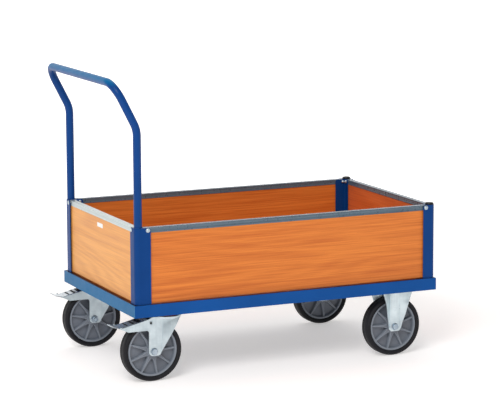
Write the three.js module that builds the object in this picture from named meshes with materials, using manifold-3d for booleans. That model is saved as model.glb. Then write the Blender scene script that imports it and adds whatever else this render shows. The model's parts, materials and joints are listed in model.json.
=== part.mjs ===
// Four-wheeled platform trolley with a boarded box body, a tubular push handle,
// two braked swivel castors under the handle end and two fixed castors at the front.
// Millimetres, +Z up, floor at Z = 0. While it is built, X = 0 is the rear (handle end) face
// of the chassis and Y = 0 is its middle plane; the last lines move the origin to the middle
// of the whole trolley's box. "Left" is +Y, as seen by somebody pushing towards +X.
import * as THREE from 'three';
import { mergeVertices } from 'three/addons/utils/BufferGeometryUtils.js';
import Module from 'manifold-3d';

const wasm = await Module();
wasm.setup();

// ---------- driving dimensions ----------
const LENGTH = 1080;            // chassis, outside
const WIDTH = 660;
const CHASSIS_LOW = 219;        // chassis rail, lower and upper edge
const CHASSIS_TOP = 259;
const RAIL_WALL = 3;
const SHELF_LOW = 239;          // shelf under the deck board
const SHELF_WALL = 3;
const SHELF_REACH = 36;
const GUSSET_LENGTH = 206;      // flat corner plates that carry the castors
const GUSSET_REACH = 126;
const BEAM_FLANGE = 30;         // T section cross beams
const BEAM_LOW = 221;
const FIT = 0.3;                // air between pieces that touch

const BOARD_THICK = 16;
const PANEL_THICK = 15;
const PANEL_LOW = 262.5;
const EDGING_WALL = 1.2;
const EDGING_GAP = 2.6;         // air between a post's outer leg and the edging
const EDGING_LOW = 489;
const BODY_TOP = 506;           // top of posts and edging

const TUBE_R = 13;
const TUBE_WALL = 2;
const POST_WALL = 2.2;
const POST_R = TUBE_R + FIT + POST_WALL;
const SOCKET_SIDES = 20;
const SIDE_INSET = 5.5;         // post face behind the chassis face: long sides,
const REAR_INSET = 6.5;         // rear end
const FRONT_INSET = 1.5;        // and front end
const SIDE_LEG = { rear: 52.5, front: 45.5 };     // post leg on the long side, outside
const SIDE_CLAMP = { rear: 55.5, front: 62.5 };   // and inside the box
const END_LEG = 44.5;
const CLAMP_FROM = 27;          // where the inner legs leave the socket
const EAR_R = 9;
const CAP_R = 14.5;             // black caps on the front posts
const CAP_TALL = 7;
const CAP_PLUG = 14;
const SCREW_Z = 498;
const SCREW_FROM_EDGE = 9.5;
const SCREW_R = 2.9;
const SCREW_HEAD_R = 7;
const SCREW_FLANGE = 1.6;
const SCREW_HEAD_TOP = 4;       // outside of a screw head to the post's face
const SCREW_PAST_CLAMP = 5;

const KINK_Z = 818;             // the push handle leans back above this height
const BAR_X = -53;
const BAR_Z = 965;
const KINK_BEND_R = 90;
const CORNER_BEND_R = 60;

const WHEEL_R = 100;
const TYRE_HALF = 22;
const TYRE_SIDES = 32;
const RIM_R = 83.7;
const RIM_SIDES = 27;
const RIM_HALF = 17.5;
const HUB_R = 20;
const HUB_HALF = 26;
const RIBS = 9;
const AXLE_R = 5.9;
const SLEEVE_R = 9.5;           // tube round the axle bolt, clamped between the legs
const NUT_R = 11;
const BOLT_HEAD = 7.2;
const NUT_THICK = 10;
const BOLT_END = 13;            // past the far leg

const CASTOR_FROM_SIDE = 58;    // castor middle plane to the chassis face
const KINGPIN_X = 130;
const FIXED_AXLE_X = 940;
const TRAIL = 55;
const PLATE_LENGTH = 140;
const PLATE_WIDTH = 105;
const PLATE_LOW = 233.7;
const PLATE_THICK = 5;
const LEG_IN = 27;              // fork and bracket legs, inner face to the middle plane
const LEG_WALL = 4;
const HEAD_LOW = 214.5;
const HEAD_R = 40;
const CROWN_LOW = 206;
const CROWN_TOP = 211.5;
const CROWN_R = 47;
const KINGPIN_R = 7;

const PEDAL_PIVOT = [-65, 194]; // X and Z, measured from the kingpin and the floor
const PEDAL_TIP = -194;
const PEDAL_STUB_R = 4;         // short pivots on the pedal's cheeks
const PEDAL_IN = 23.4;          // cheeks of the pedal
const PEDAL_OUT = 26.4;
const PEDAL_STUB_END = 28.5;

// ---------- materials ----------
function paint(color, roughness, metalness) {
  return new THREE.MeshStandardMaterial({ color, roughness, metalness });
}
const BLUE = paint(0x1f4f92, 0.4, 0.1);
const BEECH = paint(0xdc8c4c, 0.45, 0);
const ALUMINIUM = paint(0x8f9ba3, 0.35, 0.9);
const ZINC = paint(0xb9c5ca, 0.35, 0.9);
const TYRE = paint(0x1c1d20, 0.8, 0);
const RIM = paint(0x6e737d, 0.5, 0);
const BLACK = paint(0x101114, 0.5, 0);
const WHITE = paint(0xf2f2ee, 0.4, 0);
const RUBBER = paint(0x26272a, 0.8, 0);
const SEAL_RED = paint(0x8c3a34, 0.6, 0);

// ---------- solids ----------
const trolley = new THREE.Group();

function add(name, shape, material) {
  const geometry = shape.isBufferGeometry ? shape : toGeometry(shape);
  const mesh = new THREE.Mesh(geometry, material);
  mesh.name = name;
  trolley.add(mesh);
  return mesh;
}

function toSolid(shape) {
  if (!shape.isBufferGeometry) return shape;
  const bare = shape.clone();
  bare.deleteAttribute('normal');
  bare.deleteAttribute('uv');
  const merged = mergeVertices(bare, 1e-4);
  return new wasm.Manifold(new wasm.Mesh({
    numProp: 3,
    vertProperties: new Float32Array(merged.attributes.position.array),
    triVerts: new Uint32Array(merged.index.array),
  }));
}

function toGeometry(solid) {
  const mesh = solid.getMesh();
  const geometry = new THREE.BufferGeometry();
  geometry.setAttribute('position', new THREE.BufferAttribute(mesh.vertProperties, 3));
  geometry.setIndex(new THREE.BufferAttribute(mesh.triVerts, 1));
  geometry.computeVertexNormals();
  return geometry;
}

function join(...shapes) {
  return shapes.map(toSolid).reduce((sum, next) => sum.add(next));
}

function cut(shape, ...tools) {
  return tools.map(toSolid).reduce((rest, tool) => rest.subtract(tool), toSolid(shape));
}

// A box between two opposite corners, given in any order.
function block([x0, y0, z0], [x1, y1, z1]) {
  const box = new THREE.BoxGeometry(Math.abs(x1 - x0), Math.abs(y1 - y0), Math.abs(z1 - z0));
  return box.translate((x0 + x1) / 2, (y0 + y1) / 2, (z0 + z1) / 2);
}

// Planes that a flat outline is drawn in: where its two axes and its thickness point.
const PLANES = {
  xy: [new THREE.Vector3(1, 0, 0), new THREE.Vector3(0, 1, 0), new THREE.Vector3(0, 0, 1)],
  yz: [new THREE.Vector3(0, 1, 0), new THREE.Vector3(0, 0, 1), new THREE.Vector3(1, 0, 0)],
  xz: [new THREE.Vector3(1, 0, 0), new THREE.Vector3(0, 0, 1), new THREE.Vector3(0, -1, 0)],
};

// A flat plate: an outline in the given plane, with its thickness between two levels.
function plate(plane, outline, low, high, curveSegments = 2) {
  const [low1, high1] = [Math.min(low, high), Math.max(low, high)];
  const shape = Array.isArray(outline) ? new THREE.Shape(vectors(outline)) : outline;
  const geometry = new THREE.ExtrudeGeometry(shape, {
    depth: high1 - low1, bevelEnabled: false, curveSegments,
  });
  geometry.applyMatrix4(new THREE.Matrix4().makeBasis(...PLANES[plane]));
  const start = plane === 'xz' ? high1 : low1;
  const normal = plane === 'xz' ? new THREE.Vector3(0, 1, 0) : PLANES[plane][2];
  return geometry.translate(normal.x * start, normal.y * start, normal.z * start);
}

function circle(radius, sides) {
  return Array.from({ length: sides }, (_, i) => {
    const angle = (i * 2 * Math.PI) / sides;
    return [radius * Math.cos(angle), radius * Math.sin(angle)];
  });
}

function moved(points, du, dv) {
  return points.map(([u, v]) => [u + du, v + dv]);
}

const vectors = (points) => points.map(([u, v]) => new THREE.Vector2(u, v));

// An outline with one hole in it.
function ringShape(outer, inner) {
  const shape = new THREE.Shape(vectors(outer));
  shape.holes.push(new THREE.Path(vectors(inner)));
  return shape;
}

// A round or polygonal rod along one axis: "x", "y" or "z".
function rod(axis, [u, v], radius, low, high, sides) {
  const plane = { x: 'yz', y: 'xz', z: 'xy' }[axis];
  return plate(plane, moved(circle(radius, sides), u, v), low, high);
}

// A turned ring or disc about the Y axis through (x, z); its profile is a closed loop of [radius, y].
function turned(profile, [x, y, z], sides) {
  const ring = new THREE.LatheGeometry(vectors([...profile, profile[0]]), sides, Math.PI / sides);
  return ring.translate(x, y, z);
}

// The same about a vertical axis through (x, y); its profile is a closed loop of [radius, z].
function turnedUpright(profile, [x, y], sides) {
  const ring = new THREE.LatheGeometry(vectors([...profile, profile[0]]), sides);
  return ring.rotateX(Math.PI / 2).translate(x, y, 0);
}

// A closed skin over rings of points that all have the same count, capped flat at both ends.
function loft(rings) {
  const count = rings[0].length;
  const positions = rings.flat(2);
  const index = [];
  for (let r = 0; r + 1 < rings.length; r += 1) {
    for (let i = 0; i < count; i += 1) {
      const a = r * count + i;
      const b = r * count + ((i + 1) % count);
      index.push(a, b, b + count, a, b + count, a + count);
    }
  }
  const last = (rings.length - 1) * count;
  const [bottom, top] = [rings[0], rings[rings.length - 1]].map(vectors);
  for (const [a, b, c] of THREE.ShapeUtils.triangulateShape(bottom, [])) index.push(a, c, b);
  for (const [a, b, c] of THREE.ShapeUtils.triangulateShape(top, [])) {
    index.push(last + a, last + b, last + c);
  }
  const geometry = new THREE.BufferGeometry();
  geometry.setAttribute('position', new THREE.Float32BufferAttribute(positions, 3));
  geometry.setIndex(index);
  return geometry;
}

// The mirror image of a geometry across the plane Y = 0.
function mirrored(geometry) {
  const copy = (geometry.index ? geometry.toNonIndexed() : geometry.clone());
  const p = copy.attributes.position;
  for (let i = 0; i < p.count; i += 3) {
    const corners = [i, i + 2, i + 1].map((k) => [p.getX(k), -p.getY(k), p.getZ(k)]);
    corners.forEach(([x, y, z], k) => p.setXYZ(i + k, x, y, z));
  }
  copy.deleteAttribute('normal');
  copy.deleteAttribute('uv');
  return copy;
}

// ---------- chassis and deck ----------
function rectangle(inset) {
  const [x0, x1, y] = [inset, LENGTH - inset, WIDTH / 2 - inset];
  return [[x0, -y], [x1, -y], [x1, y], [x0, y]];
}


function chassis() {
  const shelfTop = SHELF_LOW + SHELF_WALL;
  const parts = [
    plate('xy', ringShape(rectangle(0), rectangle(RAIL_WALL)), CHASSIS_LOW, CHASSIS_TOP),
    plate('xy', ringShape(rectangle(RAIL_WALL / 2), rectangle(SHELF_REACH)), SHELF_LOW, shelfTop),
  ];
  for (const side of [-1, 1]) {
    const outer = side * (WIDTH / 2 - RAIL_WALL / 2);
    const inner = side * (WIDTH / 2 - GUSSET_REACH);
    parts.push(block([RAIL_WALL / 2, outer, SHELF_LOW], [GUSSET_LENGTH, inner, shelfTop]));
    parts.push(block([LENGTH - GUSSET_LENGTH, outer, SHELF_LOW],
      [LENGTH - RAIL_WALL / 2, inner, shelfTop]));
  }
  for (const x of [LENGTH / 3, (2 * LENGTH) / 3]) {
    const reach = WIDTH / 2 - RAIL_WALL / 2;
    parts.push(block([x - BEAM_FLANGE / 2, -reach, SHELF_LOW], [x + BEAM_FLANGE / 2, reach, shelfTop]));
    parts.push(block([x - RAIL_WALL / 2, -reach, BEAM_LOW], [x + RAIL_WALL / 2, reach, SHELF_LOW + 1]));
  }
  return join(...parts);
}

add('frame', chassis(), BLUE);

const BOARD_LOW = SHELF_LOW + SHELF_WALL + FIT;
add('deck_board', plate('xy', rectangle(RAIL_WALL + FIT), BOARD_LOW, BOARD_LOW + BOARD_THICK), BEECH);

// ---------- corner posts ----------
// A post is worked out at a corner whose outside faces are U = 0 and V = 0; "at" turns those two
// distances into X and Y. U runs along the trolley and V across it.
const CORNERS = ['rear', 'front'].flatMap((end) => ['right', 'left'].map((side) => {
  const ySign = side === 'left' ? -1 : 1;
  const yFace = -ySign * (WIDTH / 2 - SIDE_INSET);
  const xSign = end === 'rear' ? 1 : -1;
  const xFace = end === 'rear' ? REAR_INSET : LENGTH - FRONT_INSET;
  return { end, side, xSign, ySign, at: (u, v) => [xFace + xSign * u, yFace + ySign * v] };
}));

// Layers of the wall, as distances behind the outside face of the post.
const LAYER = { edging: POST_WALL + EDGING_GAP };
LAYER.panel = LAYER.edging + EDGING_WALL + FIT;
LAYER.panelBack = LAYER.panel + PANEL_THICK;
LAYER.edgingBack = LAYER.panelBack + FIT + EDGING_WALL;
LAYER.clamp = LAYER.edgingBack + FIT;
LAYER.clampBack = LAYER.clamp + POST_WALL;
const PANEL_END = 2 * POST_R + 0.5;
const POST_LOW = CHASSIS_TOP + FIT;

// A leg of a post: an upright strip with one rounded top corner, which forms the ear of the screw.
function legOutline(from, to, sign) {
  const edge = to - sign * EAR_R;
  const shape = new THREE.Shape();
  shape.moveTo(from, POST_LOW);
  shape.lineTo(to, POST_LOW);
  shape.lineTo(to, BODY_TOP - EAR_R);
  shape.absarc(edge, BODY_TOP - EAR_R, EAR_R, sign > 0 ? 0 : Math.PI, Math.PI / 2, sign < 0);
  shape.lineTo(from, BODY_TOP);
  return shape;
}

function screwHole(corner, face) {
  const reach = 40;
  if (face === 'side') {
    const [x, y] = corner.at(SIDE_LEG[corner.end] - SCREW_FROM_EDGE, 0);
    return rod('y', [x, SCREW_Z], SCREW_R + FIT, y - reach, y + reach, 8);
  }
  const [x, y] = corner.at(0, END_LEG - SCREW_FROM_EDGE);
  return rod('x', [y, SCREW_Z], SCREW_R + FIT, x - reach, x + reach, 8);
}

function post(corner) {
  const { at, xSign, ySign } = corner;
  const [xTube, yTube] = at(POST_R, POST_R);
  const socketRing = [POST_R, TUBE_R + FIT * 2].map((r) => moved(circle(r, SOCKET_SIDES), xTube, yTube));
  const socket = plate('xy', ringShape(...socketRing), POST_LOW, BODY_TOP);
  const strip = (plane, from, to, low, high) => {
    const along = plane === 'xz' ? 0 : 1;
    const sign = plane === 'xz' ? xSign : ySign;
    const point = (distance) => (plane === 'xz' ? at(distance, 0) : at(0, distance))[along];
    const level = (distance) => (plane === 'xz' ? at(0, distance) : at(distance, 0))[1 - along];
    return plate(plane, legOutline(point(from), point(to), sign), level(low), level(high));
  };
  return cut(
    join(
      socket,
      strip('xz', POST_R, SIDE_LEG[corner.end], 0, POST_WALL),
      strip('yz', POST_R, END_LEG, 0, POST_WALL),
      strip('xz', CLAMP_FROM, SIDE_CLAMP[corner.end], LAYER.clamp, LAYER.clampBack),
      strip('yz', CLAMP_FROM, END_LEG, LAYER.clamp, LAYER.clampBack),
    ),
    screwHole(corner, 'side'),
    screwHole(corner, 'end'),
  );
}

for (const corner of CORNERS) {
  add(`post_${corner.end}_${corner.side}`, post(corner), BLUE);
}

// ---------- black caps on the front posts ----------
for (const corner of CORNERS.filter(({ end }) => end === 'front')) {
  const low = BODY_TOP + FIT;
  const plugR = TUBE_R - 2 * FIT;
  const profile = [[0, low - CAP_PLUG], [plugR, low - CAP_PLUG], [plugR, low], [CAP_R, low],
    [CAP_R, low + 4], [CAP_R - 1.5, low + 6], [CAP_R - 4.5, low + CAP_TALL], [0, low + CAP_TALL]];
  const cap = new THREE.LatheGeometry(vectors(profile), 16).rotateX(Math.PI / 2);
  const [x, y] = corner.at(POST_R, POST_R);
  add(`cap_front_${corner.side}`, cap.translate(x, y, 0), BLACK);
}

// ---------- boarded walls and their edging ----------
function wall(name, plane, from, to, level, inward, holes) {
  const at = (distance) => level + inward * distance;
  const board = [[from, PANEL_LOW], [to, PANEL_LOW],
    [to, BODY_TOP - EDGING_WALL - FIT], [from, BODY_TOP - EDGING_WALL - FIT]];
  const panel = plate(plane, board, at(LAYER.panel), at(LAYER.panelBack));
  add(`${name}_panel`, cut(panel, ...holes), BEECH);

  const across = plane === 'xz' ? 'yz' : 'xz';
  const [a, b] = [at(LAYER.edging), at(LAYER.edging) + inward * EDGING_WALL];
  const [c, d] = [at(LAYER.edgingBack) - inward * EDGING_WALL, at(LAYER.edgingBack)];
  const channel = [[a, EDGING_LOW], [b, EDGING_LOW], [b, BODY_TOP - EDGING_WALL],
    [c, BODY_TOP - EDGING_WALL], [c, EDGING_LOW], [d, EDGING_LOW], [d, BODY_TOP], [a, BODY_TOP]];
  add(`${name}_edging`, cut(plate(across, channel, from, to), ...holes), ALUMINIUM);
}

const cornerAt = (end, side) => CORNERS.find((c) => c.end === end && c.side === side);

for (const side of ['right', 'left']) {
  const [rear, front] = [cornerAt('rear', side), cornerAt('front', side)];
  wall(`${side}_wall`, 'xz', rear.at(PANEL_END, 0)[0], front.at(PANEL_END, 0)[0],
    rear.at(0, 0)[1], rear.ySign, [screwHole(rear, 'side'), screwHole(front, 'side')]);
}
for (const end of ['rear', 'front']) {
  const [right, left] = [cornerAt(end, 'right'), cornerAt(end, 'left')];
  wall(`${end}_wall`, 'yz', right.at(0, PANEL_END)[1], left.at(0, PANEL_END)[1],
    right.at(0, 0)[0], right.xSign, [screwHole(right, 'end'), screwHole(left, 'end')]);
}

// ---------- wall screws ----------
function wallScrew(corner, face) {
  const outward = face === 'side' ? -corner.ySign : -corner.xSign;
  const [x0, y0] = face === 'side'
    ? corner.at(SIDE_LEG[corner.end] - SCREW_FROM_EDGE, 0)
    : corner.at(0, END_LEG - SCREW_FROM_EDGE);
  const [axis, centre, level] = face === 'side' ? ['y', [x0, SCREW_Z], y0] : ['x', [y0, SCREW_Z], x0];
  const out = (distance) => level + outward * distance;
  return join(
    rod(axis, centre, SCREW_HEAD_R, out(FIT), out(FIT + SCREW_FLANGE), 12),
    rod(axis, centre, SCREW_HEAD_R - 1.2, out(SCREW_FLANGE), out(SCREW_HEAD_TOP), 12),
    rod(axis, centre, SCREW_R, out(FIT + 1), out(-LAYER.clampBack - SCREW_PAST_CLAMP), 8),
  );
}

for (const corner of CORNERS) {
  for (const face of ['side', 'end']) {
    add(`screw_${face}_${corner.end}_${corner.side}`, wallScrew(corner, face), ZINC);
  }
}

// ---------- push handle ----------
// Points along a line of straight runs whose corners are rounded to the given radii.
function roundedPath(corners, radii, steps) {
  const points = [corners[0]];
  for (let i = 1; i + 1 < corners.length; i += 1) {
    const before = corners[i - 1].clone().sub(corners[i]).normalize();
    const after = corners[i + 1].clone().sub(corners[i]).normalize();
    const half = before.angleTo(after) / 2;
    const radius = radii[i - 1];
    const bisector = before.clone().add(after).normalize();
    const centre = corners[i].clone().addScaledVector(bisector, radius / Math.sin(half));
    const start = corners[i].clone().addScaledVector(before, radius / Math.tan(half)).sub(centre);
    const end = corners[i].clone().addScaledVector(after, radius / Math.tan(half)).sub(centre);
    const sweep = start.angleTo(end);
    const axis = start.clone().cross(end).normalize();
    const count = steps[i - 1];
    for (let k = 0; k <= count; k += 1) {
      points.push(start.clone().applyAxisAngle(axis, (sweep * k) / count).add(centre));
    }
  }
  points.push(corners[corners.length - 1]);
  return points;
}

// A curve whose parameter steps evenly from point to point, so that straight runs take one step.
class PointPath extends THREE.Curve {
  constructor(points) {
    super();
    this.points = points;
  }

  getPoint(t) {
    const place = Math.min(Math.max(t, 0), 1) * (this.points.length - 1);
    const i = Math.min(Math.floor(place), this.points.length - 2);
    return this.points[i].clone().lerp(this.points[i + 1], place - i);
  }

  getPointAt(t) {
    return this.getPoint(t);
  }

  getTangentAt(t) {
    return this.getTangent(t);
  }
}

function tube(points, radius, wallThickness, sides) {
  const shape = ringShape(circle(radius, sides), circle(radius - wallThickness, sides));
  return new THREE.ExtrudeGeometry(shape, {
    steps: points.length - 1, extrudePath: new PointPath(points), bevelEnabled: false,
  });
}

const [HANDLE_X, HANDLE_Y] = cornerAt('rear', 'left').at(POST_R, POST_R);
const handleCorners = [
  [HANDLE_X, -HANDLE_Y, POST_LOW + 1], [HANDLE_X, -HANDLE_Y, KINK_Z], [BAR_X, -HANDLE_Y, BAR_Z],
  [BAR_X, HANDLE_Y, BAR_Z], [HANDLE_X, HANDLE_Y, KINK_Z], [HANDLE_X, HANDLE_Y, POST_LOW + 1],
].map((point) => new THREE.Vector3(...point));
const bendRadii = [KINK_BEND_R, CORNER_BEND_R, CORNER_BEND_R, KINK_BEND_R];
add('push_handle', tube(roundedPath(handleCorners, bendRadii, [3, 6, 6, 3]), TUBE_R, TUBE_WALL, 12), BLUE);

// ---------- plain label on the rear wall ----------
const LABEL = { y0: -18, y1: 32, z0: 458, z1: 472, thick: 0.4, gap: 0.1 };
const labelX = REAR_INSET + LAYER.panel - LABEL.gap;
add('label_plate', block([labelX - LABEL.thick, LABEL.y0, LABEL.z0], [labelX, LABEL.y1, LABEL.z1]), WHITE);

// ---------- wheels ----------
function tyre(centre) {
  const grow = 1 / Math.cos(Math.PI / TYRE_SIDES);
  const half = [[84.6, -19], [93.5, -TYRE_HALF], [98.2, -19.6], [WHEEL_R, -14.5]];
  const profile = [...half, ...half.map(([r, y]) => [r, -y]).reverse()];
  return turned(profile.map(([r, y]) => [r * grow, y]), centre, TYRE_SIDES);
}

function rib(angle) {
  const [inner, outer] = [HUB_R - 3, RIM_R - 5];
  const [wide, narrow] = [6, 2];
  const outline = [[inner, -wide], [outer, -narrow], [outer, narrow], [inner, wide]];
  const bar = plate('xz', outline, -13.5, 13.5);
  return bar.rotateY(angle);
}

function rim(centre) {
  const half = [[SLEEVE_R + FIT, -HUB_HALF], [HUB_R - 2, -HUB_HALF], [HUB_R, -5], [RIM_R - 8, -5],
    [RIM_R - 6, -RIM_HALF], [RIM_R, -RIM_HALF]];
  const profile = [...half, ...half.map(([r, y]) => [r, -y]).reverse()];
  const ribs = Array.from({ length: RIBS }, (_, i) => rib((i * 2 * Math.PI) / RIBS));
  return toGeometry(join(turned(profile, [0, 0, 0], RIM_SIDES), ...ribs)).translate(...centre);
}

function addWheel(prefix, centre) {
  add(`${prefix}_rim`, rim(centre), RIM);
  add(`${prefix}_tyre`, tyre(centre), TYRE);
  const [x, y, z] = centre;
  const out = y < 0 ? -1 : 1;
  const sleeve = [[AXLE_R + FIT, FIT - LEG_IN], [SLEEVE_R, FIT - LEG_IN],
    [SLEEVE_R, LEG_IN - FIT], [AXLE_R + FIT, LEG_IN - FIT]];
  add(`${prefix}_axle_sleeve`, turned(sleeve, centre, 14), ZINC);
  const face = LEG_IN + LEG_WALL + FIT;
  const bolt = join(
    rod('y', [x, z], NUT_R, y + out * face, y + out * (face + BOLT_HEAD), 6),
    rod('y', [x, z], AXLE_R, y + out * (face + 1), y - out * (face + BOLT_END), 12),
  );
  add(`${prefix}_axle_bolt`, bolt, ZINC);
  const nut = cut(
    rod('y', [x, z], NUT_R, y - out * face, y - out * (face + NUT_THICK), 6),
    rod('y', [x, z], AXLE_R + FIT, y - out * (face - 5), y - out * (face + BOLT_END + 2), 12),
  );
  add(`${prefix}_axle_nut`, nut, ZINC);
}

// ---------- fixed castors ----------
// One leg of the fixed bracket: a flat middle with two wings that flare outward towards the top.
function bracketLeg() {
  const levels = [
    { z: 85, middle: 13, flare: 2, out: 0 },
    { z: 93, middle: 18, flare: 4.5, out: 0 },
    { z: 112, middle: 18, flare: 8, out: 3 },
    { z: 140, middle: 18, flare: 15, out: 11 },
    { z: 180, middle: 18, flare: 23, out: 19 },
    { z: 215, middle: 18, flare: 34, out: 21 },
    { z: PLATE_LOW + PLATE_THICK / 2, middle: 18, flare: 36, out: 21 },
  ];
  return loft(levels.map(({ z, middle, flare, out }) => {
    const edge = middle + flare;
    const [inner, outer] = [-LEG_IN, -LEG_IN - LEG_WALL];
    return [[-edge, outer - out, z], [-middle, outer, z], [middle, outer, z], [edge, outer - out, z],
      [edge, inner - out, z], [middle, inner, z], [-middle, inner, z], [-edge, inner - out, z]];
  }));
}

function roundedRectangle(halfX, halfY, radius) {
  const shape = new THREE.Shape();
  shape.absarc(halfX - radius, halfY - radius, radius, 0, Math.PI / 2);
  shape.absarc(radius - halfX, halfY - radius, radius, Math.PI / 2, Math.PI);
  shape.absarc(radius - halfX, radius - halfY, radius, Math.PI, 1.5 * Math.PI);
  shape.absarc(halfX - radius, radius - halfY, radius, 1.5 * Math.PI, 2 * Math.PI);
  return shape;
}

const topPlate = () => plate('xy', roundedRectangle(PLATE_LENGTH / 2, PLATE_WIDTH / 2, 9),
  PLATE_LOW, PLATE_LOW + PLATE_THICK);

function fixedBracket() {
  const leg = bracketLeg();
  const hole = rod('y', [0, WHEEL_R], AXLE_R + FIT, -60, 60, 12);
  return cut(join(topPlate(), leg, mirrored(leg)), hole);
}

// ---------- swivel castors ----------
// The fork is drawn with the kingpin at X = 0; its wheel trails by TRAIL towards -X.
function forkPlateOutline() {
  const shape = new THREE.Shape();
  shape.absarc(-TRAIL - 4, 99.5, 13.5, Math.PI, 1.5 * Math.PI);
  shape.absarc(-42, 97.5, 11.5, 1.5 * Math.PI, 1.9 * Math.PI);
  shape.lineTo(-22, CROWN_TOP);
  shape.lineTo(-60, CROWN_TOP);
  shape.lineTo(-74, 205.5);
  shape.lineTo(-161, 184.5);
  shape.lineTo(-168, 188);
  shape.lineTo(-170, 183);
  shape.lineTo(-142, 170);
  shape.lineTo(-80, 170);
  shape.absarc(-80, 162, 8, Math.PI / 2, 0, true);
  return shape;
}

// The front part of a fork leg, which bends inward towards the head of the castor.
function forkCheek() {
  const levels = [0, 0.25, 0.5, 0.75, 1];
  return loft(levels.map((t) => {
    const z = 97 + t * (CROWN_TOP - 97);
    const crease = -31 + 9 * t;
    const edge = -30 + (CROWN_R + 29) * t;
    const bend = 15 * Math.max(0, (t - 0.35) / 0.65) ** 2;
    const [inner, outer] = [-LEG_IN, -LEG_IN - LEG_WALL];
    return [[crease - 3, outer, z], [crease, outer, z], [edge, outer + bend, z],
      [edge - 1, inner + bend, z], [crease, inner, z], [crease - 3, inner, z]];
  }));
}

function fork() {
  const flat = plate('xz', forkPlateOutline(), -LEG_IN - LEG_WALL, -LEG_IN, 3);
  const cheek = forkCheek();
  const reach = LEG_IN + LEG_WALL;
  const crown = join(
    rod('z', [0, 0], CROWN_R, CROWN_LOW, CROWN_TOP, 24),
    block([-60, -reach, CROWN_LOW], [-5, reach, CROWN_TOP]),
  );
  return cut(
    join(flat, mirrored(flat), cheek, mirrored(cheek), crown),
    rod('z', [0, 0], KINGPIN_R + FIT, CROWN_LOW - 5, CROWN_TOP + 5, 12),
    rod('y', [-TRAIL, WHEEL_R], AXLE_R + FIT, -60, 60, 12),
    rod('y', PEDAL_PIVOT, PEDAL_STUB_R + FIT, -60, 60, 12),
  );
}

function swivelPlate() {
  const head = turnedUpright([[KINGPIN_R + FIT, HEAD_LOW], [HEAD_R - 4, HEAD_LOW], [HEAD_R, HEAD_LOW + 4],
    [HEAD_R, PLATE_LOW - 6], [HEAD_R + 5, PLATE_LOW + 1], [KINGPIN_R + FIT, PLATE_LOW + 1]], [0, 0], 24);
  const bore = rod('z', [0, 0], KINGPIN_R + FIT, PLATE_LOW - 5, PLATE_LOW + 10, 24);
  return join(head, cut(topPlate(), bore));
}

function kingpin() {
  return join(
    rod('z', [0, 0], KINGPIN_R, CROWN_LOW - 8, PLATE_LOW + PLATE_THICK - FIT, 12),
    rod('z', [0, 0], 12, CROWN_LOW - 8.5, CROWN_LOW - FIT, 6),
  );
}

// A sloping tread with a turned-up tip, two cheeks beside the tyre and a short pivot on each cheek.
function brakePedal() {
  const tread = plate('xz', [[-72, 204.5], [-90, 202.5], [-166, 184.8], [-193, 191.8], [PEDAL_TIP, 189.6],
    [-166, 181.6], [-90, 199.5], [-72, 201.5]], -PEDAL_OUT, PEDAL_OUT);
  const cheekOutline = [[-57, 190], [-60, 186.5], [-70, 186.5], [-150, 178], [-163, 182.4], [-90, 200.5],
    [-72, 202.5], [-60, 201.5], [-57, 198]];
  const cheek = plate('xz', cheekOutline, -PEDAL_OUT, -PEDAL_IN);
  const stub = rod('y', PEDAL_PIVOT, PEDAL_STUB_R, PEDAL_IN, PEDAL_STUB_END, 12);
  return join(tread, cheek, mirrored(cheek), stub, mirrored(stub));
}

function brakeShoe() {
  const outline = [[-121, 187.2], [-118, 192.4], [-138, 187.7], [-136, 178.3]];
  return plate('xz', outline, -20, 20);
}

// The dust seal in the gap between the head and the fork's crown.
function seal() {
  const [low, high] = [CROWN_TOP + FIT, HEAD_LOW - FIT];
  return turnedUpright([[HEAD_R - 9, low], [HEAD_R - 1, low], [HEAD_R, (low + high) / 2],
    [HEAD_R - 1, high], [HEAD_R - 9, high]], [0, 0], 24);
}

function placed(shape, x, y) {
  return (shape.isBufferGeometry ? shape : toGeometry(shape)).clone().translate(x, y, 0);
}

for (const side of ['right', 'left']) {
  const y = (side === 'left' ? 1 : -1) * (WIDTH / 2 - CASTOR_FROM_SIDE);

  const rear = `castor_rear_${side}`;
  add(`${rear}_plate`, placed(swivelPlate(), KINGPIN_X, y), ZINC);
  add(`${rear}_kingpin`, placed(kingpin(), KINGPIN_X, y), ZINC);
  add(`${rear}_fork`, placed(fork(), KINGPIN_X, y), ZINC);
  add(`${rear}_brake_pedal`, placed(brakePedal(), KINGPIN_X, y), ZINC);
  add(`${rear}_brake_shoe`, placed(brakeShoe(), KINGPIN_X, y), RUBBER);
  add(`${rear}_seal`, placed(seal(), KINGPIN_X, y), SEAL_RED);
  addWheel(rear, [KINGPIN_X - TRAIL, y, WHEEL_R]);

  const front = `castor_front_${side}`;
  add(`${front}_bracket`, placed(fixedBracket(), FIXED_AXLE_X, y), ZINC);
  addWheel(front, [FIXED_AXLE_X, y, WHEEL_R]);
}

// ---------- origin: the middle of the whole box, on the floor ----------
const REAR_MOST = KINGPIN_X + PEDAL_TIP;
const FRONT_MOST = LENGTH - FRONT_INSET + SCREW_HEAD_TOP;
for (const mesh of trolley.children) {
  mesh.position.x -= (REAR_MOST + FRONT_MOST) / 2;
}

export default trolley;
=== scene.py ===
"""The looks of a four-wheeled platform trolley with a boarded box body.

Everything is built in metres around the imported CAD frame: +X is the front, +Y the left side, and the
floor is z = 0. Small shapes are written in millimetres and scaled by MM.
"""
import json
import math

import bmesh
import bpy
from mathutils import Matrix, Vector


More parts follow.
